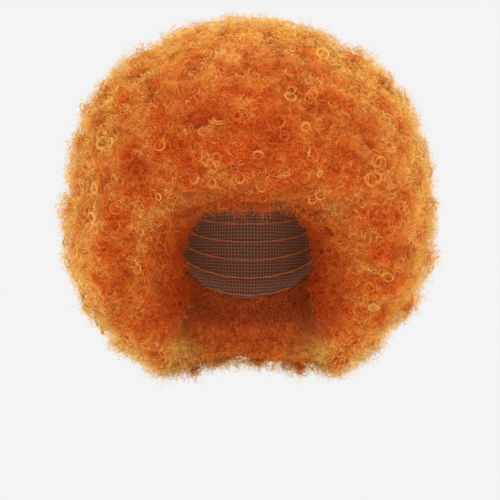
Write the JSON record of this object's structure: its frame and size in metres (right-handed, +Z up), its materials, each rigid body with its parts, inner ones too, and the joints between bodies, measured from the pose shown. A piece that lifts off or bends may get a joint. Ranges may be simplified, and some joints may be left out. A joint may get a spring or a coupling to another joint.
{
  "type": "curly wig",
  "caption": "Full round wig of tight kinky curls in bright orange: rows of curled hair on a stretch net cap, with a short fringe and an open face and neck.",
  "frame": {"origin": "centre of the head that wears the wig, on the middle plane at the height of the eyes", "axes": "+Z up, the wig's front towards -Y, +X to the right as seen from in front"},
  "size_m": [0.3788, 0.3686, 0.3703],
  "materials": {
    "hair": "crimped synthetic fibre, soft sheen",
    "net": "matt stretch net"
  },
  "bodies": {
    "root": {"cap": "net", "fringe": "hair", "nape_weft": "hair", "weft_2": "hair", "weft_3": "hair", "weft_4": "hair", "weft_5": "hair", "weft_6": "hair", "weft_7": "hair", "weft_8": "hair", "weft_9": "hair", "weft_10": "hair", "crown_weft": "hair"}
  },
  "joints": []
}
